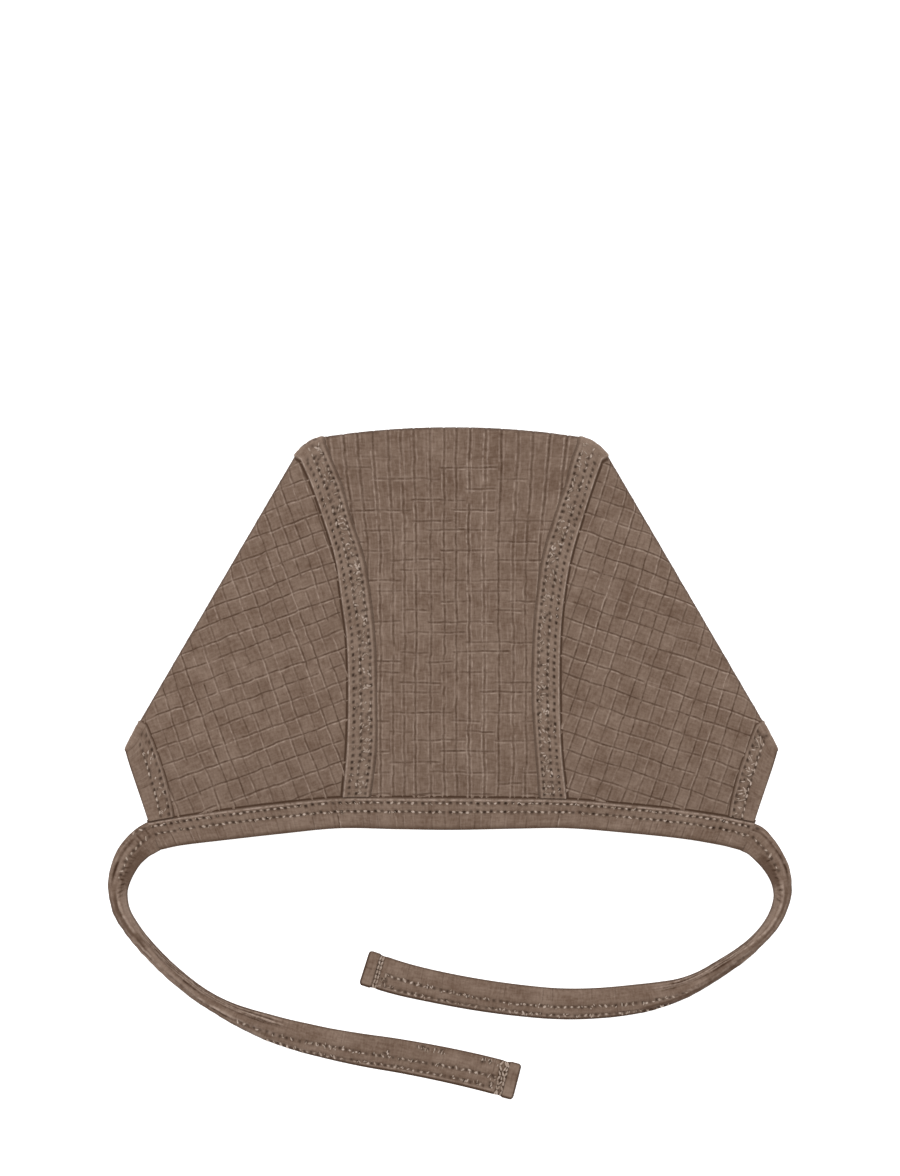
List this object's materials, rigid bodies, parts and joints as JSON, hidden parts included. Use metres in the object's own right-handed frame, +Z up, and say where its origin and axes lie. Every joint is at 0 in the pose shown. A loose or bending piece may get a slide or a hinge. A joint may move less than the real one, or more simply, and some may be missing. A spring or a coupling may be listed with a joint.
{
  "type": "baby bonnet",
  "caption": "Soft panelled knit baby bonnet laid flat, with raised seam bands, bound face and neck edges and long flat ties.",
  "frame": {"origin": "on the floor under the middle of the bonnet without its ties, as it lies folded flat", "axes": "+X from the left ear to the right ear as seen from above, +Y from the neck edge towards the crown fold, +Z up out of the surface it lies on"},
  "size_m": [0.2533, 0.2483, 0.0187],
  "materials": {
    "knit_panel": "matte fine knit with a small open check of grooves and raised threads",
    "knit_band": "matte plain knit, folded and cover-stitched"
  },
  "bodies": {
    "root": {"centre_panel": "knit_panel", "side_panel_left": "knit_panel", "side_panel_right": "knit_panel", "seam_band_left": "knit_band", "seam_band_right": "knit_band", "face_binding": "knit_band", "neck_binding": "knit_band", "tie_left": "knit_band", "tie_right": "knit_band"}
  },
  "joints": []
}
